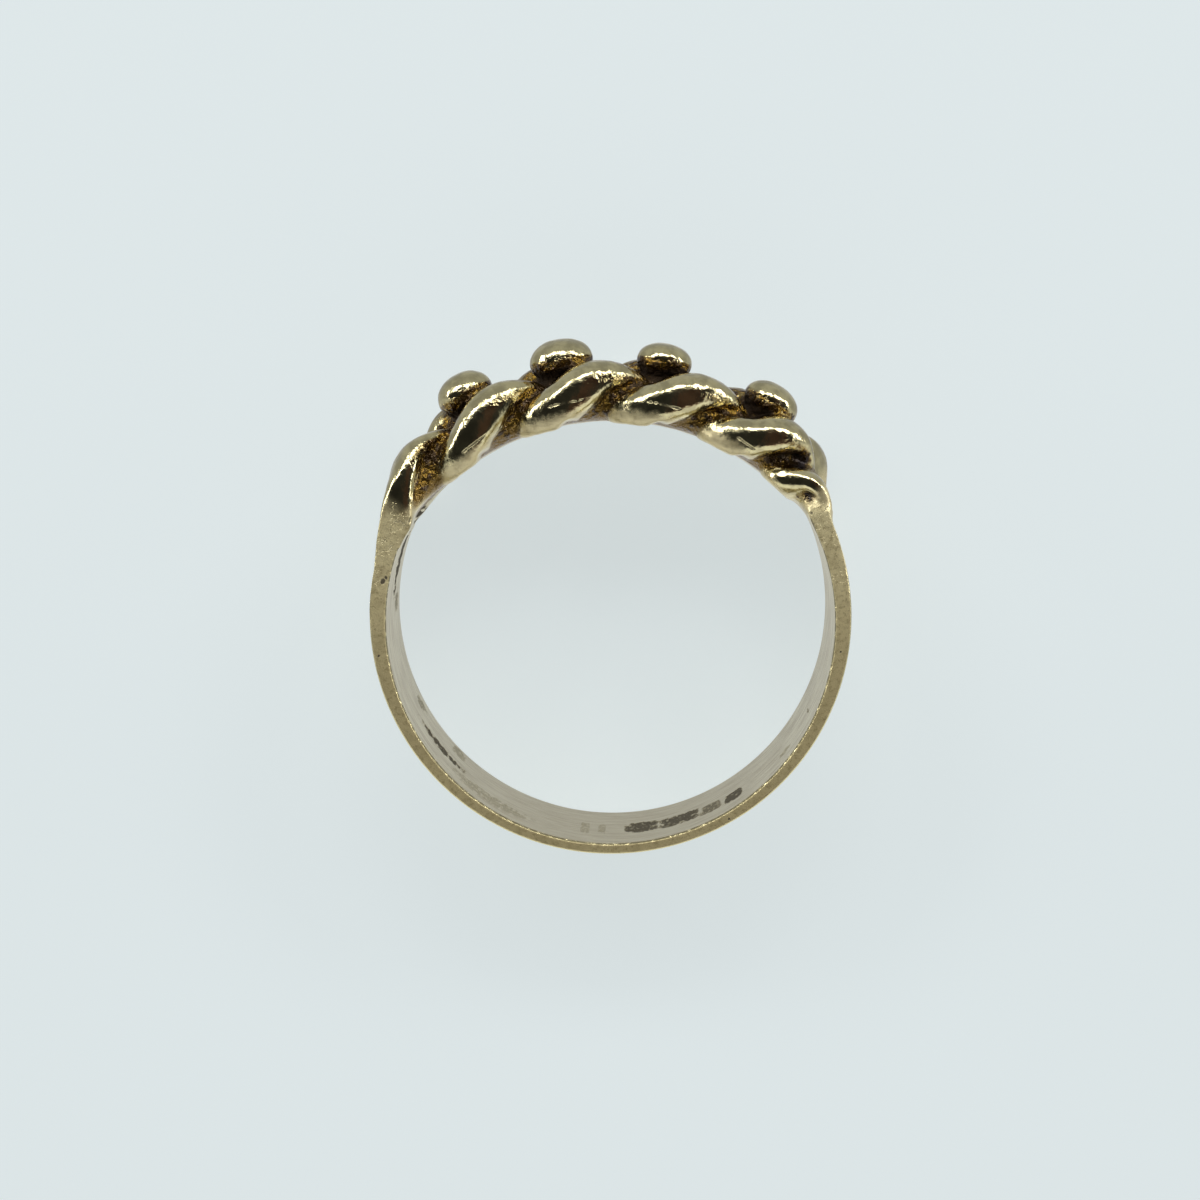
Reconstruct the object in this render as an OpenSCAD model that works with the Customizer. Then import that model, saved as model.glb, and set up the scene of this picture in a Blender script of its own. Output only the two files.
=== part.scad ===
// Keeper ring: a flat band whose head is a plait of three heavy strands with four round studs.
// The ring lies on its side. The finger hole runs along Z and the head points towards -Y.
// The origin is on the finger hole's axis, in the plane of the lower rim face.

/* [Band] */
// Inside diameter of the band
finger_d = 18.2; // [16:0.1:21]
// Width of the band, which is the width of the plait too
ring_w = 6; // [5:0.1:7]
// Thickness of the band at the back, where it is worn thin
back_t = 0.44; // [0.34:0.02:0.6]
// Thickness of the band at its two sides
side_t = 0.66; // [0.6:0.01:0.9]
// Bevel along the four edges of the band
edge = 0.1; // [0.05:0.01:0.14]

/* [Head] */
// How far the underside of the head lies inside the finger circle
head_flat = 1.1; // [0.8:0.05:1.3]
// Angle from the top of the ring to where the head's underside meets the finger circle
head_end_a = 72.5; // [69:0.5:76]
// Thickness of the head, from its underside to the crests of the strands
head_t = 2.7; // [2.4:0.05:2.8]

/* [Plait] */
// Angle from one crest to the next along an edge, seen from the centre of the head's arc
pitch_a = 21; // [20:0.25:22]
// Where the middle crest of the upper edge stands, from the middle of the head
crest_a = -1.3; // [-3:0.1:3]
// Width of a strand
strand_w = 2.0; // [1.6:0.05:2.2]
// Mean height of a strand
strand_h = 1.25; // [1.1:0.05:1.4]
// The share of its height that a strand gains along the edges and loses over the middle
swell = 0.42; // [0.3:0.01:0.5]
// Where the strands end in the band on the left of the head, seen from above
left_end_a = 76; // [66:1:82]
// Where they end on the right
right_end_a = 64; // [62:1:82]

/* [Studs] */
// Height of a stud's widest place above the crests of the strands
stud_up = 0.05; // [0:0.05:0.4]
// How far a stud's rounded side reaches below its widest place
stud_down = 0.75; // [0.5:0.05:0.9]

/* [Hidden] */

// Studs, a row for each: angle along the head, diameter, radius of the top about the head's centre
STUD_A = 0;
STUD_D = 1;
STUD_TOP = 2;
studs = [
    [-28.8, 2.40, 13.36],
    [-9.4, 2.65, 13.36],
    [10.2, 2.32, 13.20],
    [32.0, 2.42, 13.24],
];

gold = [0.66, 0.60, 0.42];

finger_r = finger_d / 2;
// The outside of the band is a circle set towards the head, so the band thickens to its shoulders.
band_shift = side_t - back_t;
band_r = finger_r + side_t;

// The head's underside is an arc about a point behind the finger hole's axis.
under_top = finger_r - head_flat;
head_drop = (finger_r^2 - under_top^2) / (2 * (under_top - finger_r * cos(head_end_a)));
under_r = under_top + head_drop;
crest_r = under_r + head_t;
mid_r = (under_r + crest_r) / 2;

// A strand swings from edge to edge and rises and falls twice in one turn of the plait.
strands = 3;
turn_a = strands * pitch_a;
sway = (ring_w - strand_w) / 2;
// The share of its height that a strand gains on its crests and loses where it lies deepest
crest_gain = 0.14;
lift = (head_t - strand_h * (1 + crest_gain)) / 2;
// How much deeper the strands lie along the edges
sink = 0.2;
// How much of the plait's underside is filed away
filed = 0.12;

// Between these angles the head comes down into the band's thickness, on the left and the right.
left_shoulder = [38, 60];
right_shoulder = [42, 58];
// Between these the strands get smaller. What is left of them ends inside the band.
left_taper = [47, left_end_a];
right_taper = [44, 54];
end_w = 0.96;
end_h = 0.14;
// From this angle on a strand keeps less of its height, down to a share that it reaches over
// slim_over. It does so later, by slim_lag, where it runs on the inside of the plait.
slim_a = 22;
slim_over = 30;
slim_lag = 10;
slim_h = 0.6;
// Between these the strands turn as flat as the band's rim and fill it.
left_flat = [46, 60];
right_flat = [46, 58];
// From these angles on the strands of the left shoulder swing more slowly, and those of the
// right shoulder faster.
slow_a = 48;
slow = 0.4;
fast_a = 33;
fast = 1.4;

// The core is the metal that fills the plait from inside up to the floor of its recesses.
// It turns into the band's own section where it meets the band, and ends inside it.
core_w = ring_w - 0.95 * strand_w;
core_h = 1.7;
core_r = mid_r - 0.45;
// The core stays this far inside the band's surface where it runs in it.
core_gap = 0.02;
// The band ends here, inside the core and the strands.
band_end_a = 59;
// The powers that make an oval an ellipse, a rounded block or nearly a rectangle
round_n = 2.4;
block_n = 3;
square_n = 8;

// A stud is as round as this power says, and has this many steps from its widest place to its top.
stud_n = 2.5;
stud_steps = 8;
stud_sides = 32;
band_sides = 160;

// The sections of the strands and the core stand at even angles along the head.
sections = 59;
section_a = [for (i = [0:sections - 1]) mix(-left_end_a, right_end_a, i / (sections - 1))];
tube_sides = 16;

function smooth(x) = let (t = min(max(x, 0), 1)) t * t * (3 - 2 * t);
function mix(a, b, t) = a + (b - a) * t;
function unit(v) = v / norm(v);

// Rises from 0 to 1 between two angles, which differ from left to right
function rise(a, left, right) =
    let (from = a < 0 ? left[0] : right[0], to = a < 0 ? left[1] : right[1])
    smooth((abs(a) - from) / (to - from));
// 0 on the head, 1 where the band begins
function shoulder(a) = rise(a, left_shoulder, right_shoulder);
// 0 on the head, 1 where the strands are thin
function taper(a) = rise(a, left_taper, right_taper);
// 0 where the strands are round, 1 where they are as flat as the band's rim
function flat(a) = rise(a, left_flat, right_flat);

// The radius, about the head's centre, of a circle round a point at a height above that centre
function round_r(a, height, r) = height * cos(a) + sqrt(r^2 - (height * sin(a))^2);
function band_in_r(a) = round_r(a, head_drop, finger_r);
function band_out_r(a) = round_r(a, head_drop + band_shift, band_r);
function band_mid_r(a) = (band_in_r(a) + band_out_r(a)) / 2;
function band_t(a) = band_out_r(a) - band_in_r(a);

function swing_a(a) = a < -slow_a ? mix(-slow_a, a, slow) : a > fast_a ? mix(fast_a, a, fast) : a;
// The phase of a strand: -90 at the upper edge, 90 at the lower edge, and its crests at -45 and 135
function phase(k, a) = (swing_a(a) - crest_a - k * pitch_a) * 360 / turn_a - 45;

// A place on the head, from its angle, its radius about the head's centre and its height
function flat_place(a, r) = [-r * sin(a), head_drop - r * cos(a)];
function place(a, r, z) = [each flat_place(a, r), z];

// 1 where a strand runs on the outside of the plait, -1 where it runs on the inside
function outer(p) = max(-1, min(1, -sqrt(2) * sin(2 * p + 45)));
// The share of its height that a strand keeps
function slim(a, p) =
    let (from = slim_a + slim_lag * (1 - outer(p)) / 2)
    mix(1, slim_h, smooth((abs(a) - from) / slim_over) * (1 - flat(a)));
function full_h(a, p) =
    strand_h * (1 - swell * cos(2 * p) - crest_gain * sin(2 * p)) * mix(1, end_h, taper(a));

// The middle of a strand. Where it gets slimmer, its outer or inner side stays in place.
function strand_point(k, a) =
    let (
        p = phase(k, a),
        r = mix(mid_r - lift * sin(2 * p) - sink * sin(p)^2, band_mid_r(a), shoulder(a)),
        shift = full_h(a, p) * (1 - slim(a, p)) / 2 * outer(p))
    place(a, r + shift, ring_w / 2 - sway * sin(p));

// A power that keeps its sign
function bow(x, n) = sign(x) * abs(x)^(2 / n);

// An oval about a centre, square to the way the tube runs
function oval(centre, ahead, out, w, h, n = round_n) =
    let (side = unit(cross(ahead, out)), up = cross(side, ahead))
    [for (i = [0:tube_sides - 1])
        let (t = 360 * i / tube_sides)
        centre + side * w / 2 * bow(cos(t), n) + up * h / 2 * bow(sin(t), n)];

function strand_oval(k, a) =
    let (p = phase(k, a))
    oval(
        strand_point(k, a),
        unit(strand_point(k, a + 0.5) - strand_point(k, a - 0.5)),
        [-sin(a), -cos(a), 0],
        strand_w * mix(1, end_w, taper(a)),
        full_h(a, p) * slim(a, p),
        mix(round_n, square_n, flat(a)));

function core_oval(a) =
    oval(
        place(a, mix(core_r, band_mid_r(a), shoulder(a)), ring_w / 2),
        [-cos(a), sin(a), 0],
        [-sin(a), -cos(a), 0],
        mix(core_w, ring_w, shoulder(a)) - 2 * core_gap,
        mix(core_h, band_t(a), shoulder(a)) - 2 * core_gap,
        mix(block_n, square_n, shoulder(a)));

// A closed tube through a list of ovals
module tube(ovals) {
    n = tube_sides;
    last = (len(ovals) - 1) * n;
    sides = [for (s = [0:len(ovals) - 2], i = [0:n - 1])
        let (a = s * n + i, b = s * n + (i + 1) % n)
        each [[a, b, a + n], [b, b + n, a + n]]];
    ends = [for (i = [1:n - 2]) each [[0, i + 1, i], [last, last + i, last + i + 1]]];
    polyhedron([for (row = ovals) each row], concat(sides, ends), convexity = 6);
}

module strand(k) {
    tube([for (a = section_a) strand_oval(k, a)]);
}

module core() {
    tube([for (a = section_a) core_oval(a)]);
}

// Half the outline of a disc or a hole as wide as the band. A disc's edges are bevelled
// inwards and a hole's outwards.
function rim_outline(r, bevel) =
    [[0, 0], [r - bevel, 0], [r, abs(bevel)], [r, ring_w - abs(bevel)], [r - bevel, ring_w], [0, ring_w]];

// A wedge from the head's centre that takes the band away under the head
module head_wedge() {
    beyond = 3 * crest_r;
    translate([0, 0, -ring_w])
        linear_extrude(3 * ring_w)
            polygon([[0, head_drop], for (i = [1:-0.5:-1]) flat_place(i * band_end_a, beyond)]);
}

module band() {
    difference() {
        translate([0, -band_shift, 0])
            rotate_extrude($fn = band_sides) polygon(rim_outline(band_r, edge));
        rotate_extrude($fn = band_sides) polygon(rim_outline(finger_r, -edge));
        head_wedge();
    }
}

// The side of a stud from half way down to the top, as distances from its axis and radii.
// It is a flattened ball, a superellipse above and below its widest place.
function stud_side(r, top) =
    let (wide = crest_r + stud_up)
    [for (i = [-stud_steps / 2:stud_steps])
        let (t = 90 * i / stud_steps)
        [r * bow(cos(t), stud_n), wide + (t < 0 ? stud_down : top - wide) * bow(sin(t), stud_n)]];

// Half the outline of a stud, with a straight foot down into the plait
function stud_outline(r, top) =
    let (side = stud_side(r, top))
    concat([[0, mid_r], [side[0][0], mid_r]], side);

module stud(row) {
    translate([0, head_drop, ring_w / 2])
        rotate([0, 0, -row[STUD_A]])
            rotate([90, 0, 0])
                rotate_extrude($fn = stud_sides)
                    polygon(stud_outline(row[STUD_D] / 2, row[STUD_TOP]));
}

// The plait with its underside filed to the head's arc
module plait() {
    difference() {
        union() {
            core();
            for (k = [0:strands - 1]) strand(k);
        }
        translate([0, head_drop, -ring_w])
            cylinder(r = under_r + filed, h = 3 * ring_w, $fn = band_sides);
    }
}

module keeper_ring() {
    color(gold) {
        band();
        plait();
        for (row = studs) stud(row);
    }
}

keeper_ring();
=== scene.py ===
"""The looks of a gold keeper ring, lying on its side.

Geometry Nodes trees make the band with the core under the plait, one plaited strand and one
stud, all in millimetres. The parts are fused into one skin, smoothed and worn, and the skin
gets one gold finish that is polished on the plait, satin on the rims and the inside, and
tarnished in the recesses. Angles run along the head, from its middle, about the centre of the
head's arc.
"""

import math

import bmesh
import bpy
import numpy as np
from mathutils import Matrix, Vector


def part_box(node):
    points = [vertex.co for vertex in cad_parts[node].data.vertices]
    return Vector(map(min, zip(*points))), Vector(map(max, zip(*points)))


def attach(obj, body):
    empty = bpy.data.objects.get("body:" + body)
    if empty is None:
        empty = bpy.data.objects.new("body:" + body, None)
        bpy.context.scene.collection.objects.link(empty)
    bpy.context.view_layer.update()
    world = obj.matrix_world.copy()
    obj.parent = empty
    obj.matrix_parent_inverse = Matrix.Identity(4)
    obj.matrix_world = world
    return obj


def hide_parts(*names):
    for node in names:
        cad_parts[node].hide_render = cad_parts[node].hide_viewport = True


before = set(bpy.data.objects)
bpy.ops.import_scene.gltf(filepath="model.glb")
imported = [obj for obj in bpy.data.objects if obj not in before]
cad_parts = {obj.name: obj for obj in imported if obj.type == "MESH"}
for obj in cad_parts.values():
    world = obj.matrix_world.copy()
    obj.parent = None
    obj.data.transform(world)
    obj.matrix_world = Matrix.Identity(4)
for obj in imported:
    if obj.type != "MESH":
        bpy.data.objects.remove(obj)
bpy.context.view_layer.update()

MM = 0.001
NODE = "keeper_ring"
BODY = "root"

# Band, in millimetres
RING_WIDTH = (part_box(NODE)[1].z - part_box(NODE)[0].z) / MM
FINGER_RADIUS = 9.1
BACK_THICKNESS = 0.44
SIDE_THICKNESS = 0.66
BAND_SHIFT = SIDE_THICKNESS - BACK_THICKNESS
BAND_RADIUS = FINGER_RADIUS + SIDE_THICKNESS
EDGE_RADIUS = 0.1

# Head. Its underside is an arc about a point behind the finger hole's axis.
HEAD_FLAT = 1.1
HEAD_END = math.radians(72.5)
HEAD_THICKNESS = 2.7
UNDER_TOP = FINGER_RADIUS - HEAD_FLAT
HEAD_DROP = (FINGER_RADIUS**2 - UNDER_TOP**2) / (2 * (UNDER_TOP - FINGER_RADIUS * math.cos(HEAD_END)))
UNDER_RADIUS = UNDER_TOP + HEAD_DROP
CREST_RADIUS = UNDER_RADIUS + HEAD_THICKNESS
MID_RADIUS = (UNDER_RADIUS + CREST_RADIUS) / 2
LEFT_SHOULDER = np.radians((38, 60))
RIGHT_SHOULDER = np.radians((42, 58))
SHOULDER_END = math.radians(60)

# Plait of three strands
STRANDS = 3
PITCH = math.radians(21)
CREST_AT = math.radians(-1.3)
STRAND_WIDTH = 2.0
STRAND_HEIGHT = 1.25
SWELL = 0.42
CREST_GAIN = 0.14
TAIL_GAIN = 0.35
SINK = 0.2
LEFT_END = math.radians(76)
RIGHT_END = math.radians(64)
LEFT_TAPER = np.radians((47, 76))
RIGHT_TAPER = np.radians((44, 54))
END_WIDTH = 0.96
END_HEIGHT = 0.14
SLIM_FROM = math.radians(22)
SLIM_OVER = math.radians(30)
SLIM_LAG = math.radians(10)
SLIM_HEIGHT = 0.6
LEFT_FLAT = np.radians((46, 60))
RIGHT_FLAT = np.radians((46, 58))
SLOW_FROM = math.radians(48)
SLOW = 0.4
FAST_FROM = math.radians(33)
FAST = 1.4
ROUND_POWER = 2.4
SQUARE_POWER = 8

# Where the strands are filed flat with the rims, and from how deep. On the right that starts
# sooner near the finger hole.
RIM_FROM = math.radians(51)
RIM_OVER = math.radians(5)
RIM_LEAD = math.radians(8)
RIM_REACH = 0.7

# How far past its arc the head's underside is filed, and the notches that the gaps between the
# strands leave in its two rims: their depth, where they lie in shares of the pitch, how much of
# the pitch's wave is above them, and where they end along the head
FILED = 0.05
NOTCH = 0.32
NEAR_NOTCH_AT = 0.44
FAR_NOTCH_AT = -0.06
NOTCH_FROM = 0.65
NOTCH_END = math.radians(42)

# Core under the plait
CORE_WIDTH = RING_WIDTH - 0.95 * STRAND_WIDTH
CORE_HEIGHT = 1.7
CORE_RADIUS = MID_RADIUS - 0.45
CORE_POWER = 3

# Studs, a row for each: degrees along the head, diameter, radius of the top
STUD_ROWS = [
    (-28.8, 2.40, 13.36),
    (-9.4, 2.65, 13.36),
    (10.2, 2.32, 13.20),
    (32.0, 2.42, 13.24),
]
STUD_UP = -0.02
STUD_DOWN = 0.75
STUD_POWER = 2.2

# The skin that fuses the parts: its grain in millimetres, and the triangles that it may have
VOXEL = 0.085
FACE_LIMIT = 195_000

# Marks on the inside of the band, a row for each: degrees round the finger hole, half its
# length in degrees, height above the floor, half its height, how square and how dark it is
MARK_ROWS = [
    (146.0, 2.8, 3.90, 0.80, 5, 1.2),
    (152.9, 3.2, 3.70, 0.80, 4, 0.9),
    (161.8, 5.6, 3.45, 0.90, 5, 1.1),
    (172.1, 4.5, 3.30, 0.95, 5, 1.1),
    (182.5, 1.0, 3.40, 0.90, 4, 0.35),
    (187.0, 1.3, 3.30, 1.10, 4, 0.35),
    (231.5, 9.0, 3.20, 0.50, 2, 1.2),
    (214.0, 13.0, 4.40, 0.80, 2, 0.45),
    (243.0, 3.0, 1.30, 0.60, 2, 0.6),
    (226.0, 2.5, 1.00, 0.70, 3, 0.5),
    (287.5, 12.5, 2.60, 0.80, 2, 2.0),
    (272.0, 2.5, 1.50, 0.70, 3, 0.6),
    (128.0, 2.6, 4.30, 0.35, 2, 0.5),
    (116.0, 0.5, 3.60, 0.50, 2, 0.8),
]
# Pits in the near rim: degrees round the finger hole, distance from its axis, radius
PIT_ROWS = [
    (280.7, 9.36, 0.12),
    (281.7, 9.27, 0.07),
    (262.0, 9.50, 0.05),
    (97.0, 9.40, 0.05),
    (61.0, 9.25, 0.07),
    (149.0, 9.40, 0.05),
]

# Colours of the gold, of what lies on it, and of the shade painted on it
POLISHED = (0.72, 0.64, 0.36, 1)
POLISHED_PATCH = (0.50, 0.44, 0.25, 1)
SATIN = (0.74, 0.64, 0.37, 1)
SATIN_PATCH = (0.46, 0.38, 0.20, 1)
RIM_BY_HEAD = (0.84, 0.73, 0.41, 1)
RIM_BEHIND = (0.62, 0.52, 0.27, 1)
RIM_PATCH = (0.46, 0.38, 0.19, 1)
RIM_SPECK = (0.33, 0.26, 0.12, 1)
INSIDE = (0.84, 0.79, 0.57, 1)
INSIDE_STREAK = (0.55, 0.48, 0.32, 1)
INSIDE_BEHIND = (0.56, 0.49, 0.32, 1)
AMBER = (0.24, 0.145, 0.027, 1)
BROWN = (0.055, 0.03, 0.008, 1)
PINK = (0.75, 0.50, 0.34, 1)
DEEPEST_DARK = (0.035, 0.022, 0.012, 1)
PAINTED_GAP_SHADE = (0.015, 0.009, 0.009, 1)
# Marks, pits and folds, and the painted dark reflection on the near rim's inner edge
MARKS_AND_PAINTED_EDGE = (0.05, 0.04, 0.025, 1)

# Camera. The picture is 1200 by 1200 pixels.
PICTURE = 1200
AXIS_PIXEL = (610.2, 624.0)
AXIS_RUNS_TO_PIXEL = (645.0, 250.0)
PIXELS_PER_MM = 24.7
CAMERA_DISTANCE = 104.0
SENSOR = 36.0

# Lamps in a row that leans over the head's side: the angle across of each and the row's lean,
# in degrees, then how far off and how large the lamps are, in metres
LAMPS_ACROSS = (-74, -38, -2, 34, 70)
LAMP_LEAN = 54
LAMP_DISTANCE = 0.4
LAMP_SIZE = (0.20, 0.07)
LAMP_BRIGHTNESS = 8.0

# The room's dark strip: where it fades in and out, in degrees over the head's side
STRIP_IN = (-56, -40)
STRIP_OUT = (34, 46)
STRIP_STRENGTH = 0.025
ROOM_COLOUR = (0.95, 0.98, 1.0, 1)
WARM_COLOUR = (1.0, 0.62, 0.52, 1)

# The table top, which glows a little so that it stays pale
FLOOR_COLOUR = (0.22, 0.235, 0.24, 1)
FLOOR_GLOW = (0.69, 0.76, 0.77, 1)
FLOOR_GLOW_STRENGTH = 0.85


class Term:
    """A number or vector in a node tree. Arithmetic on it adds the nodes that work it out."""

    def __init__(self, tree, socket):
        self.tree = tree
        self.socket = socket
        self.is_vector = socket.type == "VECTOR"

    def math(self, operation, *others):
        """Adds one Math or Vector Math node."""
        kind = "ShaderNodeVectorMath" if self.is_vector else "ShaderNodeMath"
        node = self.tree.nodes.new(kind)
        node.operation = operation
        slots = node.inputs
        if operation == "SCALE":
            slots = [node.inputs[0], node.inputs["Scale"]]
        for slot, part in zip(slots, (self, *others)):
            feed(self.tree, slot, part)
        gives_number = operation in ("DOT_PRODUCT", "LENGTH", "DISTANCE")
        return Term(self.tree, node.outputs[1 if gives_number else 0])

    def __add__(self, other):
        return self.math("ADD", other)

    def __radd__(self, other):
        return self.math("ADD", other)

    def __sub__(self, other):
        return self.math("SUBTRACT", other)

    def __rsub__(self, other):
        return (self * -1).math("ADD", other)

    def __mul__(self, other):
        return self.math("SCALE" if self.is_vector else "MULTIPLY", other)

    def __rmul__(self, other):
        return self * other

    def __truediv__(self, other):
        return self.math("DIVIDE", other)

    def __rtruediv__(self, other):
        return self ** -1 * other

    def __pow__(self, other):
        return self.math("POWER", other)

    def __abs__(self):
        return self.math("ABSOLUTE")

    def parts(self):
        """The three components of a vector."""
        node = self.tree.nodes.new("ShaderNodeSeparateXYZ")
        feed(self.tree, node.inputs[0], self)
        return [Term(self.tree, output) for output in node.outputs]


def feed(tree, slot, part):
    """Links a Term or a socket to an input, or sets the input's value."""
    if isinstance(part, Term):
        tree.links.new(part.socket, slot)
    elif isinstance(part, bpy.types.NodeSocket):
        tree.links.new(part, slot)
    else:
        slot.default_value = part


def node(tree, kind, settings=None, **inputs):
    """Adds a node. Inputs are named as on the node, with _ for a space."""
    made = tree.nodes.new(kind)
    for name, value in (settings or {}).items():
        setattr(made, name, value)
    for name, part in inputs.items():
        feed(tree, made.inputs[name.replace("_", " ")], part)
    return made


def vector(x, y, z):
    """A vector from three Terms or numbers."""
    tree = next(part.tree for part in (x, y, z) if isinstance(part, Term))
    return Term(tree, node(tree, "ShaderNodeCombineXYZ", X=x, Y=y, Z=z).outputs[0])


# These functions take Terms, numbers and arrays alike.


def cos(x):
    return x.math("COSINE") if isinstance(x, Term) else np.cos(x)


def sin(x):
    return x.math("SINE") if isinstance(x, Term) else np.sin(x)


def sqrt(x):
    return x.math("SQRT") if isinstance(x, Term) else np.sqrt(x)


def clamp(x):
    """Holds a number between 0 and 1."""
    return x.math("MAXIMUM", 0).math("MINIMUM", 1) if isinstance(x, Term) else np.clip(x, 0, 1)


def smooth(x):
    """Rises softly from 0 to 1 as x does."""
    t = clamp(x)
    return t * t * (t * -2 + 3)


def ramp(x, start, end):
    """Rises softly from 0 to 1 as x goes from start to end."""
    return smooth((x - start) / (end - start))


def mix(a, b, t):
    """Goes from a to b as t goes from 0 to 1."""
    return t * (b - a) + a


def unit(v):
    """A vector's direction, with a length of 1."""
    return v.math("NORMALIZE")


def bow(x, power):
    """A power of a sine or cosine that keeps its sign."""
    return x.math("SIGN") * abs(x) ** (2 / power)


def rise(a, left, right):
    """Rises from 0 to 1 between two angles, which differ from left to right."""
    on_left = a.math("LESS_THAN", 0) if isinstance(a, Term) else a < 0
    start = mix(float(right[0]), float(left[0]), on_left)
    end = mix(float(right[1]), float(left[1]), on_left)
    return ramp(abs(a), start, end)


def shoulder(a):
    """0 on the head, 1 where the band begins."""
    return rise(a, LEFT_SHOULDER, RIGHT_SHOULDER)


def flat(a):
    """0 where the strands are round, 1 where they are as flat as the band's rim."""
    return rise(a, LEFT_FLAT, RIGHT_FLAT)


def round_radius(a, height, radius):
    """Distance from the head's centre to a circle about a point at a height above it."""
    return cos(a) * height + sqrt((sin(a) * height) ** 2 * -1 + radius**2)


def band_inside(a):
    """Distance from the head's centre to the band's inside."""
    return round_radius(a, HEAD_DROP, FINGER_RADIUS)


def band_outside(a):
    """Distance from the head's centre to the band's outside."""
    return round_radius(a, HEAD_DROP + BAND_SHIFT, BAND_RADIUS)


def place(a, r, z):
    """A point of the head from its angle, its radius and its height above the floor."""
    return vector(sin(a) * r * -1, cos(a) * r * -1 + HEAD_DROP, z)


def new_tree(name, sizes):
    """A Geometry Nodes tree with a named number input for each size, and a Term for each."""
    tree = bpy.data.node_groups.new(name, "GeometryNodeTree")
    tree.interface.new_socket("Geometry", in_out="OUTPUT", socket_type="NodeSocketGeometry")
    tree.interface.new_socket("Geometry", in_out="INPUT", socket_type="NodeSocketGeometry")
    tree.interface.new_socket("Material", in_out="INPUT", socket_type="NodeSocketMaterial")
    for size in sizes:
        tree.interface.new_socket(size, in_out="INPUT", socket_type="NodeSocketFloat")
    source = tree.nodes.new("NodeGroupInput")
    return tree, source, [Term(tree, source.outputs[size]) for size in sizes]


def close_tree(tree, source, geometry):
    """Ends a tree in Realize Instances and Set Material."""
    real = node(tree, "GeometryNodeRealizeInstances", Geometry=geometry)
    painted = node(
        tree, "GeometryNodeSetMaterial", Geometry=real.outputs[0], Material=source.outputs["Material"]
    )
    tree.links.new(painted.outputs[0], tree.nodes.new("NodeGroupOutput").inputs[0])


def run_tree(tree, material, sizes, start=None):
    """Runs a tree with the sizes given by name, and returns its result as a plain mesh."""
    holder = bpy.data.objects.new(tree.name, start or bpy.data.meshes.new(tree.name))
    bpy.context.scene.collection.objects.link(holder)
    modifier = holder.modifiers.new(tree.name, "NODES")
    modifier.node_group = tree
    values = dict(sizes, Material=material)
    for item in tree.interface.items_tree:
        if item.in_out == "INPUT" and item.name in values:
            modifier[item.identifier] = values[item.name]
    return take_mesh(holder)


def take_mesh(holder):
    """The evaluated mesh of an object, which is then removed with its modifiers."""
    evaluated = holder.evaluated_get(bpy.context.evaluated_depsgraph_get())
    mesh = bpy.data.meshes.new_from_object(evaluated)
    bpy.data.objects.remove(holder)
    return mesh


def swept_grid(tree, along, around):
    """A flat grid to bend into a tube, with how far along and how far around each point is."""
    grid = node(tree, "GeometryNodeMeshGrid", Vertices_X=around + 1, Vertices_Y=along)
    x, y, _ = Term(tree, tree.nodes.new("GeometryNodeInputPosition").outputs[0]).parts()
    return grid.outputs["Mesh"], y + 0.5, (x + 0.5) * math.tau


def bend_grid(tree, grid, position):
    """Moves the grid's points into place and welds the seam."""
    bent = node(tree, "GeometryNodeSetPosition", Geometry=grid, Position=position)
    return node(tree, "GeometryNodeMergeByDistance", Geometry=bent.outputs[0], Distance=1e-4).outputs[0]


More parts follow.
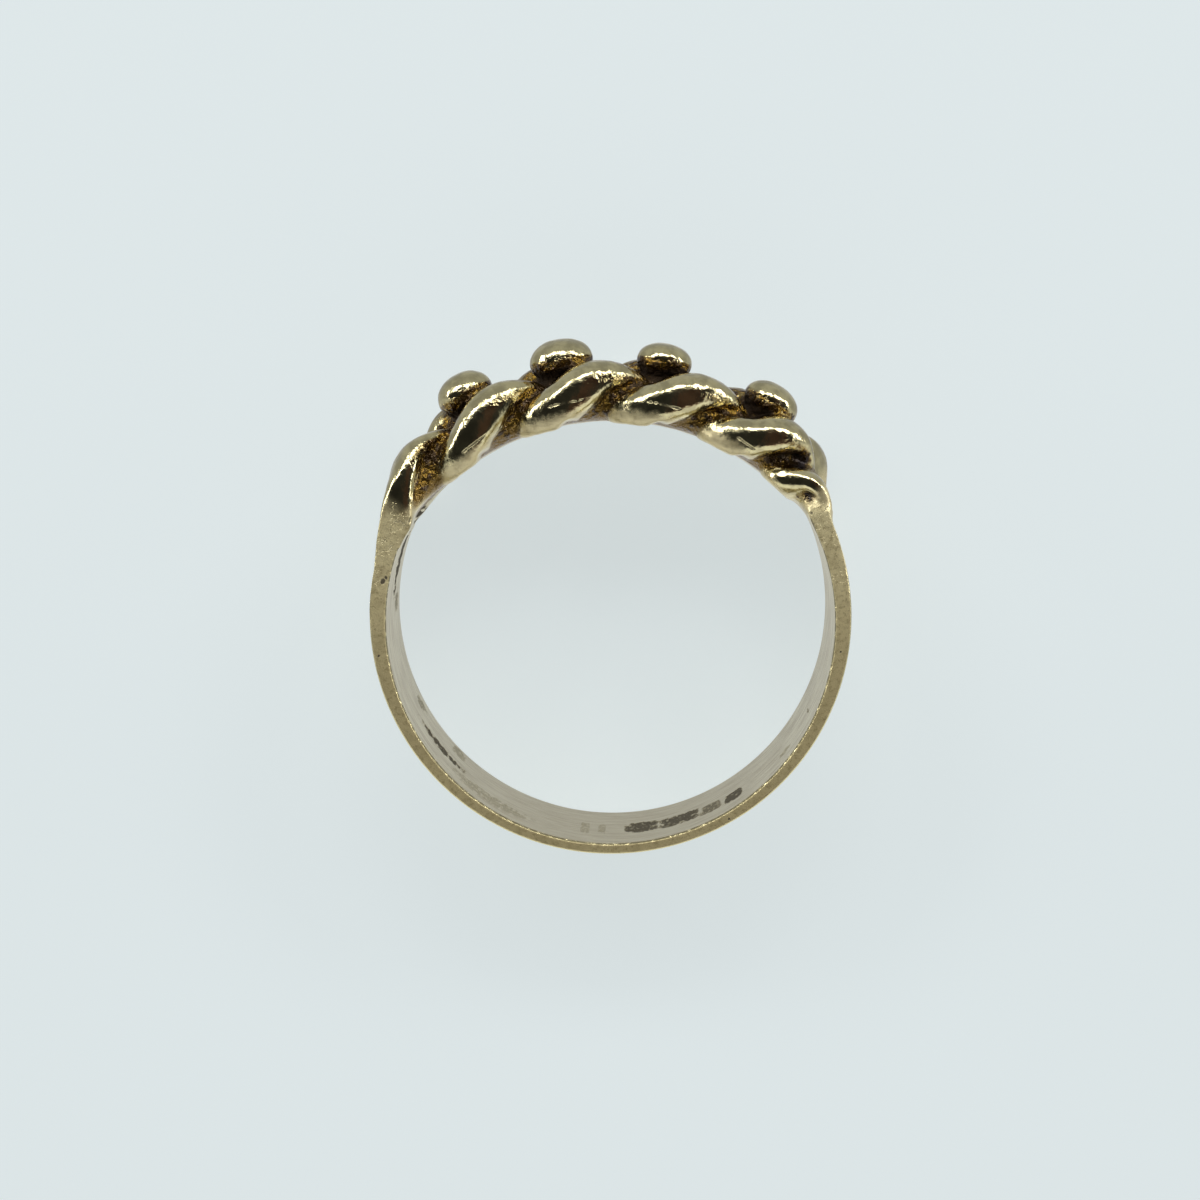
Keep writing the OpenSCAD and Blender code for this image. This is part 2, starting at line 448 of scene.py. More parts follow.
def strand_tree():
    """One strand of the plait. It swings from edge to edge and rises twice in a turn."""
    names = ["Start", "Pitch", "Width", "Height", "Swell", "Crest gain", "Head thickness", "Ring width"]
    tree, source, terms = new_tree("plaited strand", names)
    start, pitch, width, height, swell, crest_gain, thickness, ring_width = terms
    grid, along, around = swept_grid(tree, 260, 40)
    a = mix(-LEFT_END, RIGHT_END, along)
    sway = (ring_width - width) / 2
    lift = (thickness - height * (crest_gain + 1)) / 2

    def phase(at):
        """How far through its turn the strand is: slower at its left end, faster at its right."""
        slowed = (at + SLOW_FROM).math("MINIMUM", 0) * (SLOW - 1)
        hurried = (at - FAST_FROM).math("MAXIMUM", 0) * (FAST - 1)
        return (at + slowed + hurried - start) / (pitch * STRANDS) * math.tau - math.pi / 4

    def outer(turn):
        """1 where the strand keeps its top as it slims, and -1 where it keeps its underside."""
        swing = sin(turn * 2 + math.pi / 4) * -math.sqrt(2)
        return swing.math("MAXIMUM", -1).math("MINIMUM", 1)

    def kept(at, turn):
        """The share of its height that the strand keeps towards the shoulders."""
        begin = (1 - outer(turn)) * (SLIM_LAG / 2) + SLIM_FROM
        return mix(1, SLIM_HEIGHT, smooth((abs(at) - begin) / SLIM_OVER) * (1 - flat(at)))

    def full(at, turn):
        """The strand's height before it slims."""
        low = sin(turn * 2).math("MAXIMUM", 0)
        bulge = 1 - cos(turn * 2) * swell - sin(turn * 2) * crest_gain + low * TAIL_GAIN
        return height * bulge * mix(1, END_HEIGHT, rise(at, LEFT_TAPER, RIGHT_TAPER))

    def centre(at):
        """The middle of the strand's section."""
        turn = phase(at)
        band_middle = (band_inside(at) + band_outside(at)) / 2
        risen = MID_RADIUS - sin(turn * 2) * lift - sin(turn) * sin(turn) * SINK
        shift = full(at, turn) * (1 - kept(at, turn)) / 2 * outer(turn)
        radius = mix(risen, band_middle, shoulder(at)) + shift
        return place(at, radius, ring_width / 2 - sin(turn) * sway)

    step = math.radians(0.5)
    ahead = unit(centre(a + step) - centre(a - step))
    out = vector(sin(a) * -1, cos(a) * -1, 0)
    side = unit(ahead.math("CROSS_PRODUCT", out))
    up = side.math("CROSS_PRODUCT", ahead)
    tip = 1 - abs(along * 2 - 1) ** 60
    power = mix(ROUND_POWER, SQUARE_POWER, flat(a))
    across = width * mix(1, END_WIDTH, rise(a, LEFT_TAPER, RIGHT_TAPER)) * tip
    tall = full(a, phase(a)) * kept(a, phase(a)) * tip
    sideways = side * (bow(cos(around), power) * across / 2)
    upward = up * (bow(sin(around), power) * tall / 2)
    close_tree(tree, source, bend_grid(tree, grid, centre(a) + sideways + upward))
    return tree


def band_tree():
    """The band, whose section turns into the plait's round core under the head."""
    names = ["Ring width", "Core width", "Core height", "Core radius"]
    tree, source, terms = new_tree("band and core", names)
    ring_width, core_width, core_height, core_radius = terms
    grid, along, around = swept_grid(tree, 721, 96)
    a = (along * 2 - 1) * math.pi
    s = shoulder(a)
    inside = band_inside(a)
    outside = band_outside(a)
    square = math.sqrt(2)
    flat_x = (cos(around) * square).math("MAXIMUM", -1).math("MINIMUM", 1)
    flat_y = (sin(around) * square).math("MAXIMUM", -1).math("MINIMUM", 1)
    across = mix(bow(cos(around), CORE_POWER), flat_x, s) * mix(core_width, ring_width, s) / 2
    upward = mix(bow(sin(around), CORE_POWER), flat_y, s) * mix(core_height, outside - inside, s) / 2
    radius = mix(core_radius, (inside + outside) / 2, s) + upward
    close_tree(tree, source, bend_grid(tree, grid, place(a, radius, ring_width / 2 + across)))
    return tree


def stud_tree():
    """One stud: a flattened ball on a straight foot that goes down into the plait."""
    names = ["Angle", "Diameter", "Top", "Widest", "Round below", "Ring width"]
    tree, source, terms = new_tree("round stud", names)
    angle, diameter, top, widest, below, ring_width = terms
    grid, along, around = swept_grid(tree, 60, 48)
    foot = 0.2
    lowest = -math.pi / 4
    t = mix(lowest, math.pi / 2, clamp((along - foot) / (1 - foot)))
    in_foot = clamp(along / foot)
    reach = mix(top - widest, below, t.math("LESS_THAN", 0))
    height = mix(MID_RADIUS, widest + reach * bow(sin(t), STUD_POWER), in_foot)
    # The first ring closes to a point, which makes the foot's bottom.
    closed = along.math("GREATER_THAN", 1e-4)
    r = diameter / 2 * bow(cos(t).math("MAXIMUM", 1e-6), STUD_POWER) * closed
    swing = angle + sin(around) * r / height
    position = place(swing, height, ring_width / 2 + cos(around) * r)
    close_tree(tree, source, bend_grid(tree, grid, position))
    return tree


def joined(meshes, name):
    """One mesh that holds all the parts, still as separate closed shells."""
    shell = bmesh.new()
    for mesh in meshes:
        shell.from_mesh(mesh)
    made = bpy.data.meshes.new(name)
    shell.to_mesh(made)
    shell.free()
    return made


def fused(mesh):
    """One skin round all the parts, from a fine voxel remesh."""
    holder = bpy.data.objects.new("skin", mesh)
    bpy.context.scene.collection.objects.link(holder)
    remesh = holder.modifiers.new("fuse", "REMESH")
    remesh.mode = "VOXEL"
    remesh.voxel_size = VOXEL
    return take_mesh(holder)


def points_of(mesh):
    """The mesh's points as an array."""
    flat = np.empty(len(mesh.vertices) * 3, np.float32)
    mesh.vertices.foreach_get("co", flat)
    return flat.reshape(-1, 3).astype(float)


def set_points(mesh, points):
    """Moves the mesh's points."""
    mesh.vertices.foreach_set("co", points.astype(np.float32).ravel())
    mesh.update()


def normals_of(mesh):
    """The normals at the mesh's points as an array."""
    flat = np.empty(len(mesh.vertices) * 3, np.float32)
    mesh.vertex_normals.foreach_get("vector", flat)
    return flat.reshape(-1, 3)


def head_angle(points):
    """The angle along the head and the radius about the head's centre."""
    x = -points[:, 0]
    y = HEAD_DROP - points[:, 1]
    return np.arctan2(x, y), np.hypot(x, y)


def rim_share(a, r):
    """0 where the strands are round, 1 where they are filed flat with the rims."""
    lead = clamp(a * 100) * clamp((MID_RADIUS - r) / (MID_RADIUS - UNDER_RADIUS)) * RIM_LEAD
    return smooth((abs(a) - RIM_FROM + lead) / RIM_OVER)


def filed(mesh):
    """Files the head's underside to its arc, and the ends of the strands flat with the rims."""
    points = points_of(mesh)
    a, r = head_angle(points)
    z = points[:, 2]
    from_middle = abs(z - RING_WIDTH / 2)
    wave = np.cos((a / PITCH + np.where(z > RING_WIDTH / 2, NEAR_NOTCH_AT, FAR_NOTCH_AT)) * math.tau)
    notch = ramp(wave, NOTCH_FROM, 1) * ramp(from_middle, 0.5, 2.7) * smooth((NOTCH_END - abs(a)) * 20)
    lowest = UNDER_RADIUS + FILED + NOTCH * notch
    under = (r < lowest) & (abs(a) < SHOULDER_END)
    points[under, 0] = -(np.sin(a) * lowest)[under]
    points[under, 1] = HEAD_DROP - (np.cos(a) * lowest)[under]
    depth = np.minimum(z, RING_WIDTH - z)
    flatter = np.where(depth < RIM_REACH, RIM_REACH * (depth / RIM_REACH) ** 3, depth)
    new_depth = mix(depth, flatter, rim_share(a, r))
    points[:, 2] = np.where(z < RING_WIDTH / 2, new_depth, RING_WIDTH - new_depth)
    set_points(mesh, points)


def boxed(mesh):
    """Keeps the points inside the box of the plain solid."""
    low, high = (np.array(corner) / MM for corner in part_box(NODE))
    set_points(mesh, np.clip(points_of(mesh), low, high))


def band_section(points):
    """Places points on the band's section.

    Gives the nearest point of the section less its soft edges, the way out from there to the
    point, and the share of the plain band in it, which is 0 on the head.
    """
    a, r = head_angle(points)
    middle = (band_inside(a) + band_outside(a)) / 2
    thick = band_outside(a) - band_inside(a)
    local = np.stack([r - middle, points[:, 2] - RING_WIDTH / 2], axis=1)
    half = np.stack([thick / 2, np.full_like(r, RING_WIDTH / 2)], axis=1) - EDGE_RADIUS
    held = np.clip(local, -half, half)
    away = local - held
    away /= np.maximum(np.linalg.norm(away, axis=1), 1e-9)[:, None]
    inner = smooth((middle - r) / 0.1)
    start = mix(np.where(a < 0, LEFT_END, RIGHT_END), SHOULDER_END - math.radians(1), inner)
    share = smooth((abs(a) - start) / mix(math.radians(5), math.radians(2), inner))
    return held, away, share[:, None]


def true_band(mesh):
    """Puts the band's points back on its own flat rims and round faces, with soft edges."""
    points = points_of(mesh)
    a, _ = head_angle(points)
    held, away, share = band_section(points)
    flat = held + away * EDGE_RADIUS
    new_r = flat[:, 0] + (band_inside(a) + band_outside(a)) / 2
    new_x = -np.sin(a) * new_r
    new_y = HEAD_DROP - np.cos(a) * new_r
    true = np.stack([new_x, new_y, flat[:, 1] + RING_WIDTH / 2], axis=1)
    set_points(mesh, mix(points, true, share))


def true_normals(mesh):
    """Gives the band the normals of its round faces, so that its long thin faces shade evenly."""
    points = points_of(mesh) / MM
    _, away, share = band_section(points)
    out = np.stack([points[:, 0], points[:, 1] + np.where(away[:, 0] > 0, BAND_SHIFT, 0)], axis=1)
    out /= np.linalg.norm(out, axis=1)[:, None]
    true = np.stack([out[:, 0] * away[:, 0], out[:, 1] * away[:, 0], away[:, 1]], axis=1)
    mesh.normals_split_custom_set_from_vertices(mix(normals_of(mesh), true, share).tolist())


def skin_tree():
    """Softens the fused skin, makes it slightly uneven and marks how deep each point lies."""
    names = ["Wobble", "Wobble scale", "Grit", "Grit scale", "Reach"]
    tree, source, terms = new_tree("worn skin", names)
    wobble, wobble_scale, grit, grit_scale, reach = terms
    position = Term(tree, tree.nodes.new("GeometryNodeInputPosition").outputs[0])
    normal = Term(tree, tree.nodes.new("GeometryNodeInputNormal").outputs[0])
    soft = node(
        tree,
        "GeometryNodeBlurAttribute",
        {"data_type": "FLOAT_VECTOR"},
        Value=position,
        Iterations=6,
        Weight=head_share(position),
    )
    smoothed = node(
        tree, "GeometryNodeSetPosition", Geometry=source.outputs["Geometry"], Position=soft.outputs[0]
    )
    deep = recess_rays(tree, smoothed.outputs[0], position, normal, reach)
    recess = stored(tree, "recess")
    lumps = noise(tree, position, wobble_scale, 2)
    grains = noise(tree, position, grit_scale, 3)
    web = web_share(position)
    stained = clamp(smooth((recess - 0.3) * 3) + web * 0.6)
    push = (lumps - 0.5) * wobble + (grains - 0.5) * grit * stained
    moved = node(
        tree, "GeometryNodeSetPosition", Geometry=deep, Offset=normal * (push * head_share(position))
    )
    moved = node(
        tree,
        "GeometryNodeStoreNamedAttribute",
        Geometry=moved.outputs[0],
        Name="web",
        Value=web * head_share(position),
    )
    close_tree(tree, source, moved.outputs[0])
    return tree


def head_share(position):
    """1 on the head and its shoulders, 0 on the band."""
    x, y, _ = position.parts()
    a = (x * -1).math("ARCTAN2", y * -1 + HEAD_DROP)
    return 1 - smooth((abs(a) - SHOULDER_END) / (LEFT_END - SHOULDER_END))


def web_share(position):
    """1 where the skin is the core's, between the strands, and 0 on its filed underside."""
    x, y, z = position.parts()
    down = y * -1 + HEAD_DROP
    a = (x * -1).math("ARCTAN2", down)
    r = sqrt(x * x + down * down)
    s = shoulder(a)
    middle = mix(CORE_RADIUS, (band_inside(a) + band_outside(a)) / 2, s)
    tall = mix(CORE_HEIGHT, band_outside(a) - band_inside(a), s) / 2
    wide = mix(CORE_WIDTH, RING_WIDTH, s) / 2
    out = abs((r - middle) / tall) ** CORE_POWER + abs((z - RING_WIDTH / 2) / wide) ** CORE_POWER
    near = 1 - smooth((out - 1.05) / 0.35)
    above = smooth((r - UNDER_RADIUS - FILED - 0.03) / 0.1)
    return near * above * (1 - rim_share(a, r))


def noise(tree, position, scale, detail):
    """A grey noise over space."""
    made = node(
        tree, "ShaderNodeTexNoise", Vector=position, Scale=scale, Detail=detail, Roughness=0.5
    )
    return Term(tree, made.outputs[0])


def stored(tree, name):
    """A number stored on the mesh's points."""
    made = node(tree, "GeometryNodeInputNamedAttribute", {"data_type": "FLOAT"}, Name=name)
    return Term(tree, made.outputs["Attribute"])


def recess_rays(tree, geometry, position, normal, reach):
    """Stores as recess the share of rays from each point that soon meet the ring again."""
    rays = 48
    start = tree.nodes.new("GeometryNodeRepeatInput")
    stop = tree.nodes.new("GeometryNodeRepeatOutput")
    start.pair_with_output(stop)
    start.inputs["Iterations"].default_value = rays
    zero = node(tree, "GeometryNodeStoreNamedAttribute", Geometry=geometry, Name="recess", Value=0.0)
    tree.links.new(zero.outputs[0], start.inputs["Geometry"])
    anywhere = node(
        tree, "FunctionNodeRandomValue", {"data_type": "FLOAT_VECTOR"}, Seed=start.outputs["Iteration"]
    )
    anywhere.inputs["Min"].default_value = (-1, -1, -1)
    direction = unit(Term(tree, anywhere.outputs["Value"])) + normal
    ray = tree.nodes.new("GeometryNodeRaycast")
    tree.links.new(geometry, ray.inputs["Target Geometry"])
    feed(tree, ray.inputs["Source Position"], position + normal * 0.01)
    feed(tree, ray.inputs["Ray Direction"], direction)
    feed(tree, ray.inputs["Ray Length"], reach)
    nearness = 1 - Term(tree, ray.outputs["Hit Distance"]) / reach
    hit = nearness * Term(tree, ray.outputs["Is Hit"])
    total = node(
        tree,
        "GeometryNodeStoreNamedAttribute",
        Geometry=start.outputs["Geometry"],
        Name="recess",
        Value=stored(tree, "recess") + hit / rays * 2,
    )
    tree.links.new(total.outputs[0], stop.inputs["Geometry"])
    soft = node(tree, "GeometryNodeBlurAttribute", Value=stored(tree, "recess"), Iterations=3)
    return node(
        tree,
        "GeometryNodeStoreNamedAttribute",
        Geometry=stop.outputs["Geometry"],
        Name="recess",
        Value=soft.outputs[0],
    ).outputs[0]


def mark_faces(mesh):
    """Stores on the points how far they belong to the flat rims, the inside, and the tarnish with
    painted shade.
    """
    points = points_of(mesh)
    normals = normals_of(mesh)
    filed_flat = rim_share(*head_angle(points))
    inward = -(normals[:, :2] * points[:, :2]).sum(axis=1) / np.hypot(points[:, 0], points[:, 1])
    store(mesh, "rim", filed_flat * ramp(abs(normals[:, 2]), 0.75, 0.95))
    store(mesh, "inside", ramp(inward, 0.75, 0.95))
    store(mesh, "tarnish_and_shade", tarnish_and_shade_share(points, normals))


def tarnish_and_shade_share(points, normals):
    """1 under the studs' rounding and down the plait's middle, where a cloth doesn't reach: tarnish,
    and under the studs also painted shade, as their undersides turn away from the head's outside.
    """
    a, r = head_angle(points)
    outward = -normals[:, 0] * np.sin(a) - normals[:, 1] * np.cos(a)
    # Painted shade, with tarnish: faces under the studs' rounding that turn away from the head's
    # outside
    under = smooth((0.35 - outward) / 0.5) * smooth((r - MID_RADIUS - 0.3) / 0.3)
    middle = smooth((1.8 - abs(points[:, 2] - RING_WIDTH / 2)) / 0.5)
    middle = middle * smooth((CREST_RADIUS + 0.15 - r) / 0.15) * smooth((r - MID_RADIUS) / 0.4)
    middle = middle * (1 - smooth((abs(a) - math.radians(32)) * 8))
    return np.maximum(under, middle) * (abs(a) < SHOULDER_END)


def store(mesh, name, share):
    """Stores a number on each of the mesh's points."""
    mesh.attributes.new(name, "FLOAT", "POINT").data.foreach_set("value", share.astype(np.float32))


def thinned_band(mesh):
    """Leaves fewer faces on the plain band, which needs less than the head does."""
    points = points_of(mesh)
    a, _ = head_angle(points)
    holder = bpy.data.objects.new("skin", mesh)
    bpy.context.scene.collection.objects.link(holder)
    group = holder.vertex_groups.new(name="band")
    weights = smooth((abs(a) - LEFT_END) / math.radians(6))
    for level in range(1, 11):
        chosen = np.nonzero(np.round(weights * 10) == level)[0].tolist()
        group.add(chosen, level / 10, "REPLACE")
    decimate = holder.modifiers.new("thin", "DECIMATE")
    decimate.vertex_group = group.name
    decimate.ratio = min(1, FACE_LIMIT / sum(len(p.vertices) - 2 for p in mesh.polygons))
    return take_mesh(holder)


def add_colour(tree, under, over, share):
    """Lays one colour over another, by a share."""
    made = node(tree, "ShaderNodeMix", {"data_type": "RGBA"})
    feed(tree, made.inputs["Factor"], share)
    feed(tree, made.inputs[6], under)
    feed(tree, made.inputs[7], over)
    return made.outputs[2]


def reading(tree, name):
    """A number that the mesh's points carry."""
    made = node(tree, "ShaderNodeAttribute", {"attribute_name": name})
    return Term(tree, made.outputs["Fac"])


class Surface:
    """What the gold finish goes by at a point: place, noises, faces of the ring, wear and painted
    shade.
    """

    def __init__(self, tree):
        self.tree = tree
        self.position = Term(tree, tree.nodes.new("ShaderNodeTexCoord").outputs["Object"]) * (1 / MM)
        self.x, self.y, self.z = self.position.parts()
        down = HEAD_DROP - self.y
        self.a = (self.x * -1).math("ARCTAN2", down)
        self.r = sqrt(self.x * self.x + down * down)
        self.turn = self.x.math("ARCTAN2", self.y) * math.degrees(1) + 180
        self.from_axis = sqrt(self.x * self.x + self.y * self.y)
        self.recess = reading(tree, "recess")
        self.web = reading(tree, "web")
        self.tarnish_and_shade = reading(tree, "tarnish_and_shade")
        self.add_noises()
        self.add_faces()
        self.add_wear_and_shade()
        self.add_marks()

    def add_noises(self):
        """Noises of several sizes, and scratches that run round the band."""
        self.cloudy = noise(self.tree, self.position, 0.9, 3)
        self.patchy = noise(self.tree, self.position, 1.9, 5)
        self.ragged = noise(self.tree, self.position, 5.0, 4) - 0.5
        self.fine = noise(self.tree, self.position, 16.0, 3) - 0.5
        self.dents = noise(self.tree, self.position, 2.2, 2) - 0.5
        self.lumps = noise(self.tree, self.position, 2.5, 3) - 0.5
        stretched = node(self.tree, "ShaderNodeVectorMath", {"operation": "MULTIPLY"})
        feed(self.tree, stretched.inputs[0], self.position)
        stretched.inputs[1].default_value = (0.7, 0.7, 14.0)
        self.scratches = noise(self.tree, stretched.outputs[0], 1.0, 5) - 0.5

    def add_faces(self):
        """How far the point is on the flat rims, and on the inside."""
        # The plain band has long faces, so its rims and its inside are told by place alone.
        plain = ramp(abs(self.a), math.radians(80), math.radians(84))
        at_rim = smooth((abs(self.z - RING_WIDTH / 2) - RING_WIDTH / 2 + 0.025) / 0.02)
        at_inside = 1 - smooth((self.from_axis - FINGER_RADIUS - 0.005) / 0.02)
        self.rim = mix(reading(self.tree, "rim"), at_rim, plain)
        self.inside = mix(reading(self.tree, "inside"), at_inside, plain)

    def add_wear_and_shade(self):
        """How far the gold is rubbed to satin, tarnished and darkest in the recesses, with painted
        shade under the studs and in the gaps at the plait's right end.
        """
        filed_flat = rim_share(self.a, self.r)
        rubbed = ramp(self.a, math.radians(48), math.radians(51))
        rubbed = rubbed * (1 - ramp(self.a, RIGHT_END, RIGHT_END + math.radians(6)))
        satin_from = MID_RADIUS - 0.5 - ramp(self.a, math.radians(30), math.radians(40)) * 0.4
        satin = smooth((satin_from - self.r + self.ragged * 0.5) / 0.4) * (1 - filed_flat)
        self.satin = clamp(satin + rubbed * (1 - self.rim) * (1 - self.inside))
        amber = smooth((self.recess + self.ragged * 0.25 - 0.22) * 4.5)
        # The tarnish share adds tarnish, and painted shade under the studs.
        amber = clamp(amber + self.web + self.tarnish_and_shade * smooth(0.9 + self.ragged * 3))
        self.amber = amber * (1 - rubbed * 0.6)
        mottled = self.fine * 0.6 + self.ragged * 0.8 + self.lumps * 2.4
        brown = smooth((self.recess + self.web * 0.25 + self.tarnish_and_shade * 0.3 + mottled - 0.42) * 3)
        self.brown = brown * clamp(self.recess * 5 + self.web + self.tarnish_and_shade - 0.4)
        # Near black where the recesses are deepest
        self.deepest_dark = smooth((self.recess - 0.55) * 4)
        # Painted shade: near black in the deep gaps between the last lobes at the plait's right end
        painted_gap_shade = ramp(self.a, math.radians(39), math.radians(44))
        self.painted_gap_shade = painted_gap_shade * (1 - self.rim) * smooth((self.recess - 0.25) * 5)

    def add_marks(self):
        """Folds in the rim, and how dark the point is from marks, pits, folds and a painted dark
        reflection along the near rim's rounded inner edge.
        """
        # Painted dark reflection along the rounded inner edge of the near rim, broken by noise
        near_edge = 1 - smooth(abs(self.from_axis - FINGER_RADIUS - 0.02) / 0.08)
        near_edge = near_edge * (1 - smooth(abs(self.z - RING_WIDTH + 0.07) / 0.08))
        painted_edge_reflection = near_edge * smooth(self.ragged * 4 + 0.8)
        folds = noise(self.tree, self.position, 2.6, 4) - 0.5
        folds = (1 - smooth(abs(folds) / 0.025)) * self.rim
        folds = folds * smooth(1 - (abs(self.a) - 1.0) / 0.35)
        self.folds = folds * smooth(self.cloudy * 4 - 1.6)
        marks = clamp(self.inner_marks()) * self.inside
        pits = self.rim_pits() * self.rim
        self.dark = clamp(marks + pits + painted_edge_reflection * 0.9 + self.folds * 0.7)

    def inner_marks(self):
        """Dark, worn, blank dents and smears on the inside of the band, with ragged edges."""
        ragged = noise(self.tree, vector(self.turn * 0.16, self.z * 0.4, 0), 4.0, 5) - 0.5
        total = None
        for degrees, half_length, height, half_height, square, dark in MARK_ROWS:
            along = abs((self.turn - degrees) / half_length) ** square
            across = abs((self.z - height) / half_height) ** square
            mark = smooth((1.1 - along - across + ragged * 4) * 1.2) * (dark - abs(ragged) * 2)
            total = mark if total is None else total.math("MAXIMUM", mark)
        return total

    def rim_pits(self):
        """Small dark pits in the rim, with ragged edges."""
        total = None
        for degrees, distance, radius in PIT_ROWS:
            a = math.radians(degrees)
            dx = self.x + math.sin(a) * distance
            dy = self.y + math.cos(a) * distance
            pit = smooth(1.3 - (dx * dx + dy * dy) / radius**2 + self.ragged * 2)
            total = pit if total is None else total.math("MAXIMUM", pit)
        return total

    def laid(self, base, *layers):
        """A colour with others laid over it in turn, each with its share."""
        for colour, share in layers:
            base = add_colour(self.tree, base, colour, share)
        return base


def rim_colour(at):
    """The flat rims: brightest by the head, patchy and specked."""
    return at.laid(
        RIM_BY_HEAD,
        (RIM_BEHIND, ramp(abs(at.a), 1.0, 1.7)),
        (RIM_PATCH, smooth(at.patchy * 4 - 1.8) * 0.5),
        (RIM_SPECK, smooth(at.ragged * 3 + at.fine * 2 + 0.15) * 0.7),
    )


def inside_colour(at):
    """The inside: pale, with streaks round it, and darker towards the back."""
    return at.laid(
        INSIDE,
        (INSIDE_STREAK, smooth(at.scratches * 5 + at.cloudy - 0.1) * 0.8),
        (INSIDE_BEHIND, ramp(at.y, 4, 9) * 0.6),
    )


def gold_colour(at):
    """Pale gold, then its satin, rims and inside, then tarnish, painted shade, the darkest recesses and
    marks.
    """
    on_head = 1 - smooth((abs(at.a) - SHOULDER_END) * 5)
    return at.laid(
        POLISHED,
        (POLISHED_PATCH, smooth(at.patchy * 3.4 - 1.2) * mix(0.12, 1, on_head)),
        (SATIN, at.satin),
        (SATIN_PATCH, at.satin * smooth(at.patchy * 4 + at.ragged * 3 - 1.9) * 0.6),
        (rim_colour(at), at.rim),
        (inside_colour(at), at.inside),
        (AMBER, at.amber),
        (BROWN, at.brown),
        (PINK, smooth((at.fine * 3 + at.ragged * 2 - 0.6) * 4) * at.amber * 0.7),
        (DEEPEST_DARK, at.deepest_dark * 0.8),
        (PAINTED_GAP_SHADE, at.painted_gap_shade),
        (MARKS_AND_PAINTED_EDGE, at.dark * 0.92),
    )


def gold_roughness(at):
    """Low where the gold is polished, and high on satin, on the marks and the painted dark edge, and in
    the darkest recesses.
    """
    roughness = 0.10 + at.cloudy * 0.05
    roughness = mix(roughness, 0.36 + at.scratches * 0.2, at.satin)
    roughness = mix(roughness, 0.40 + at.fine * 0.12, at.rim)
    roughness = mix(roughness, 0.34 + at.scratches * 0.2, at.inside)
    roughness = mix(roughness, 0.14, at.amber)
    return mix(roughness, 0.9, clamp(at.dark + at.deepest_dark))


def gold_relief(at):
    """Dents, grain and scratches, with lumps in the stained recesses."""
    grain = at.ragged * (0.8 + at.amber * 2) * (1 - at.rim)
    relief = at.dents * 2.5 + grain + at.fine * (0.3 + at.rim * 1.0 + at.amber * 0.6)
    relief = relief + at.lumps * at.amber * (1 - at.painted_gap_shade) * 26
    relief = relief + at.folds * -2.0
    return relief + at.scratches * at.inside * 0.9 - at.dark * 5


def gold_finish():
    """Pale gold: polished on the plait, satin on the rims and inside, tarnished in the recesses, with
    painted shade under the studs and in the gaps at the plait's right end.
    """
    material = bpy.data.materials.new("pale_gold")
    material.use_nodes = True
    tree = material.node_tree
    shader = tree.nodes["Principled BSDF"]
    at = Surface(tree)
    dull = clamp(at.brown * 0.3 + at.dark * 0.5 + at.rim * 0.6 + at.satin * 0.5 + at.web * 0.15)
    bump = node(tree, "ShaderNodeBump", Height=gold_relief(at), Strength=1.0, Distance=0.012 * MM)
    feed(tree, shader.inputs["Base Color"], gold_colour(at))
    feed(tree, shader.inputs["Roughness"], gold_roughness(at))
    feed(tree, shader.inputs["Metallic"], 1 - dull)
    feed(tree, shader.inputs["Normal"], bump.outputs[0])
    return material


def ring_skin(material):
    """The whole ring as one mesh, in millimetres."""
    strand_sizes = {
        "Pitch": PITCH,
        "Width": STRAND_WIDTH,
        "Height": STRAND_HEIGHT,
        "Swell": SWELL,
        "Crest gain": CREST_GAIN,
        "Head thickness": HEAD_THICKNESS,
        "Ring width": RING_WIDTH,
    }
    band_sizes = {
        "Ring width": RING_WIDTH,
        "Core width": CORE_WIDTH,
        "Core height": CORE_HEIGHT,
        "Core radius": CORE_RADIUS,
    }
    stud_sizes = {
        "Widest": CREST_RADIUS + STUD_UP,
        "Round below": STUD_DOWN,
        "Ring width": RING_WIDTH,
    }
    strand = strand_tree()
    stud = stud_tree()
    parts = [run_tree(band_tree(), material, band_sizes)]
    for k in range(STRANDS):
        parts.append(run_tree(strand, material, dict(strand_sizes, Start=CREST_AT + k * PITCH)))
    for degrees, diameter, top in STUD_ROWS:
        sizes = dict(stud_sizes, Angle=math.radians(degrees), Diameter=diameter, Top=top)
        parts.append(run_tree(stud, material, sizes))
    skin = fused(joined(parts, "parts"))
    filed(skin)
    worn = {"Wobble": 0.05, "Wobble scale": 1.5, "Grit": 0.12, "Grit scale": 4.0, "Reach": 1.6}
    skin = run_tree(skin_tree(), material, worn, skin)
    true_band(skin)
    boxed(skin)
    skin = thinned_band(skin)
    mark_faces(skin)
    return skin


def ring_piece(material):
    """The ring as one object in metres, in place of the plain solid."""
    mesh = ring_skin(material)
    mesh.name = "worn_keeper_ring"
    mesh.transform(Matrix.Scale(MM, 4))
    mesh.shade_smooth()
    true_normals(mesh)
    piece = bpy.data.objects.new("worn_keeper_ring", mesh)
    bpy.context.scene.collection.objects.link(piece)
    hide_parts(NODE)
    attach(piece, BODY)
    return piece


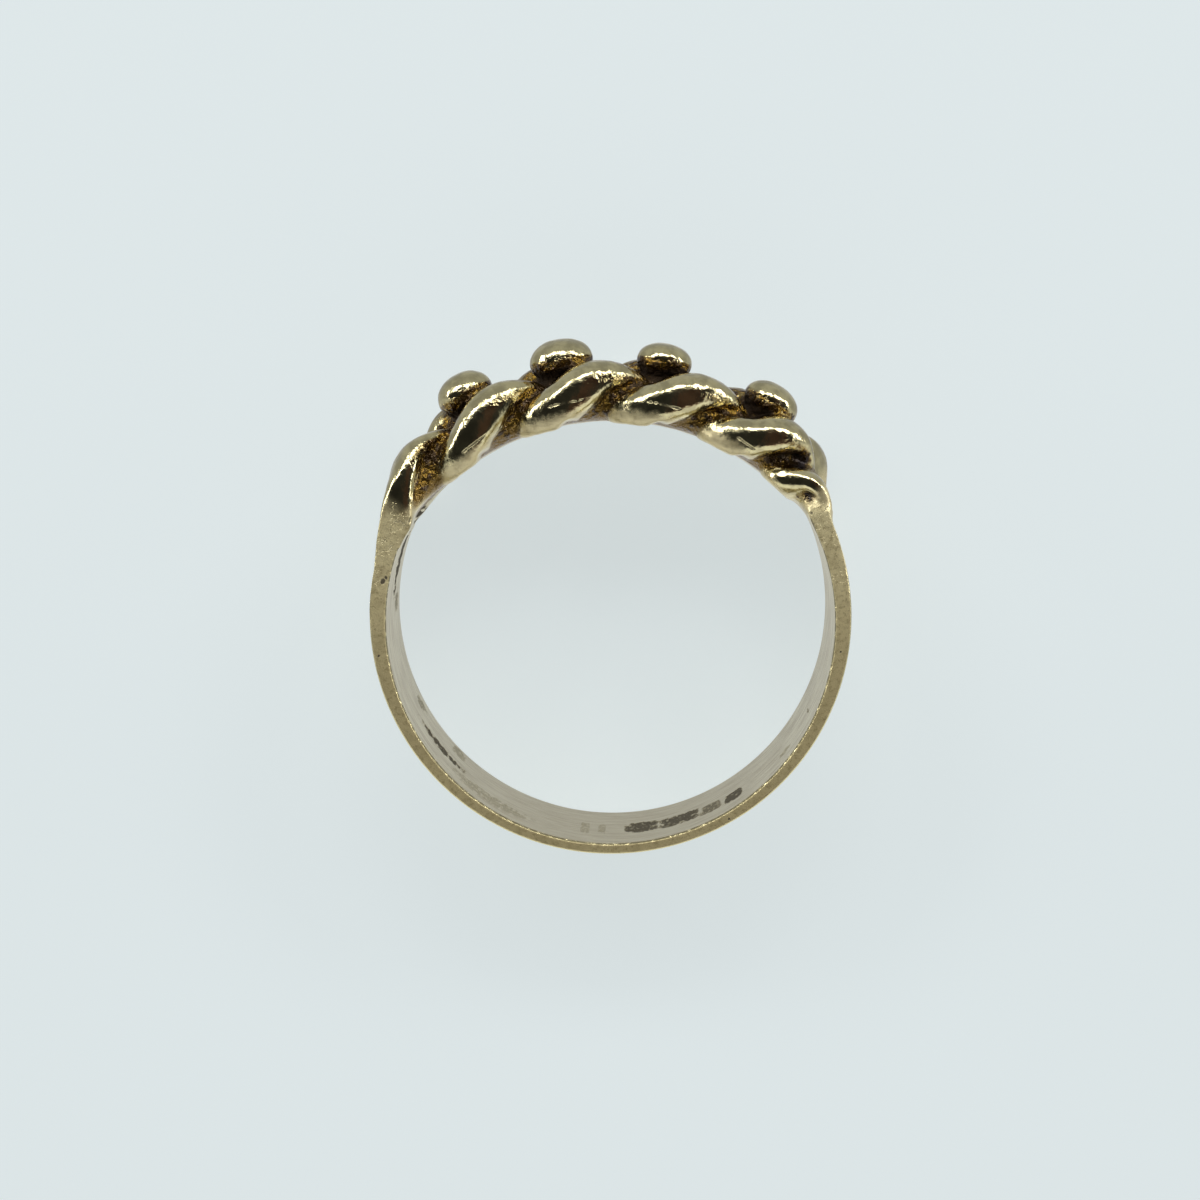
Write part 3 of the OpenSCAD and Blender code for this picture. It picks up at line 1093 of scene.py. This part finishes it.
def aim_camera():
    """Looks down at the lying ring, along its finger hole, from a little towards the back."""
    focus = PIXELS_PER_MM * CAMERA_DISTANCE
    centre = PICTURE / 2
    hole = Vector((AXIS_RUNS_TO_PIXEL[0] - centre, centre - AXIS_RUNS_TO_PIXEL[1], -focus))
    hole.normalize()
    up = Vector((0, 1, 0))
    up = (up - up.dot(hole) * hole).normalized()
    across = up.cross(-hole)
    turn = Matrix((-across, -up, -hole))
    rim = Vector(((AXIS_PIXEL[0] - centre) / focus, (centre - AXIS_PIXEL[1]) / focus, -1))
    position = turn @ -rim * CAMERA_DISTANCE + Vector((0, 0, RING_WIDTH))
    data = bpy.data.cameras.new("camera")
    data.sensor_width = SENSOR
    data.lens = focus / PICTURE * SENSOR
    data.clip_start = 0.001
    data.clip_end = 10
    camera = bpy.data.objects.new("camera", data)
    bpy.context.scene.collection.objects.link(camera)
    camera.matrix_world = Matrix.Translation(position * MM) @ turn.to_4x4()
    bpy.context.scene.camera = camera


def pale_floor():
    """A plain pale table top that reaches past the view."""
    half = 1.5
    mesh = bpy.data.meshes.new("floor")
    corners = [(-half, -half, 0), (half, -half, 0), (half, half, 0), (-half, half, 0)]
    mesh.from_pydata(corners, [], [(0, 1, 2, 3)])
    material = bpy.data.materials.new("floor")
    material.use_nodes = True
    shader = material.node_tree.nodes["Principled BSDF"]
    shader.inputs["Base Color"].default_value = FLOOR_COLOUR
    shader.inputs["Roughness"].default_value = 0.8
    shader.inputs["Specular IOR Level"].default_value = 0.0
    shader.inputs["Emission Color"].default_value = FLOOR_GLOW
    shader.inputs["Emission Strength"].default_value = FLOOR_GLOW_STRENGTH
    mesh.materials.append(material)
    floor = bpy.data.objects.new("floor", mesh)
    bpy.context.scene.collection.objects.link(floor)
    # The gold reflects the room there, and not the bright table top.
    floor.visible_glossy = False


def soft_lamp(name, across):
    """A flat soft lamp that faces the ring, from across it and leaning over the head's side."""
    data = bpy.data.lights.new(name, "AREA")
    data.shape = "RECTANGLE"
    data.size, data.size_y = LAMP_SIZE
    data.energy = LAMP_BRIGHTNESS * math.pi * LAMP_SIZE[0] * LAMP_SIZE[1]
    a = math.radians(across)
    b = math.radians(LAMP_LEAN)
    towards = Vector((math.sin(a), -math.cos(a) * math.sin(b), math.cos(a) * math.cos(b)))
    lamp = bpy.data.objects.new(name, data)
    bpy.context.scene.collection.objects.link(lamp)
    lamp.location = towards * LAMP_DISTANCE
    lamp.rotation_mode = "QUATERNION"
    lamp.rotation_quaternion = towards.to_track_quat("Z", "Y")


def studio():
    """Plain soft light: a pale room with a dark strip overhead, and lamps at the head's side."""
    world = bpy.data.worlds.new("room")
    world.use_nodes = True
    tree = world.node_tree
    direction = Term(tree, tree.nodes.new("ShaderNodeTexCoord").outputs["Generated"])
    x, y, z = direction.parts()
    lean = (y * -1).math("ARCTAN2", z) * math.degrees(1)
    left = x * -1
    strip = ramp(lean, *STRIP_IN) * (1 - ramp(lean, *STRIP_OUT)) * (1 - ramp(abs(x), 0.9, 1.0))
    warm = ramp(left, 0.05, 0.4) * (1 - ramp(left, 0.6, 0.9)) * strip
    pale = mix(0.45, 1.0, smooth(y * 1.5))
    pale = mix(pale, 0.72, ramp(z * -1, 0.93, 0.99))
    background = tree.nodes["Background"]
    feed(tree, background.inputs["Strength"], mix(pale, STRIP_STRENGTH, strip) + warm * 0.03)
    feed(tree, background.inputs["Color"], add_colour(tree, ROOM_COLOUR, WARM_COLOUR, warm))
    bpy.context.scene.world = world
    for k, across in enumerate(LAMPS_ACROSS):
        soft_lamp(f"lamp_{k}", across)


bpy.context.scene.view_settings.view_transform = "Standard"
pale_gold = gold_finish()
ring_piece(pale_gold)
aim_camera()
pale_floor()
studio()
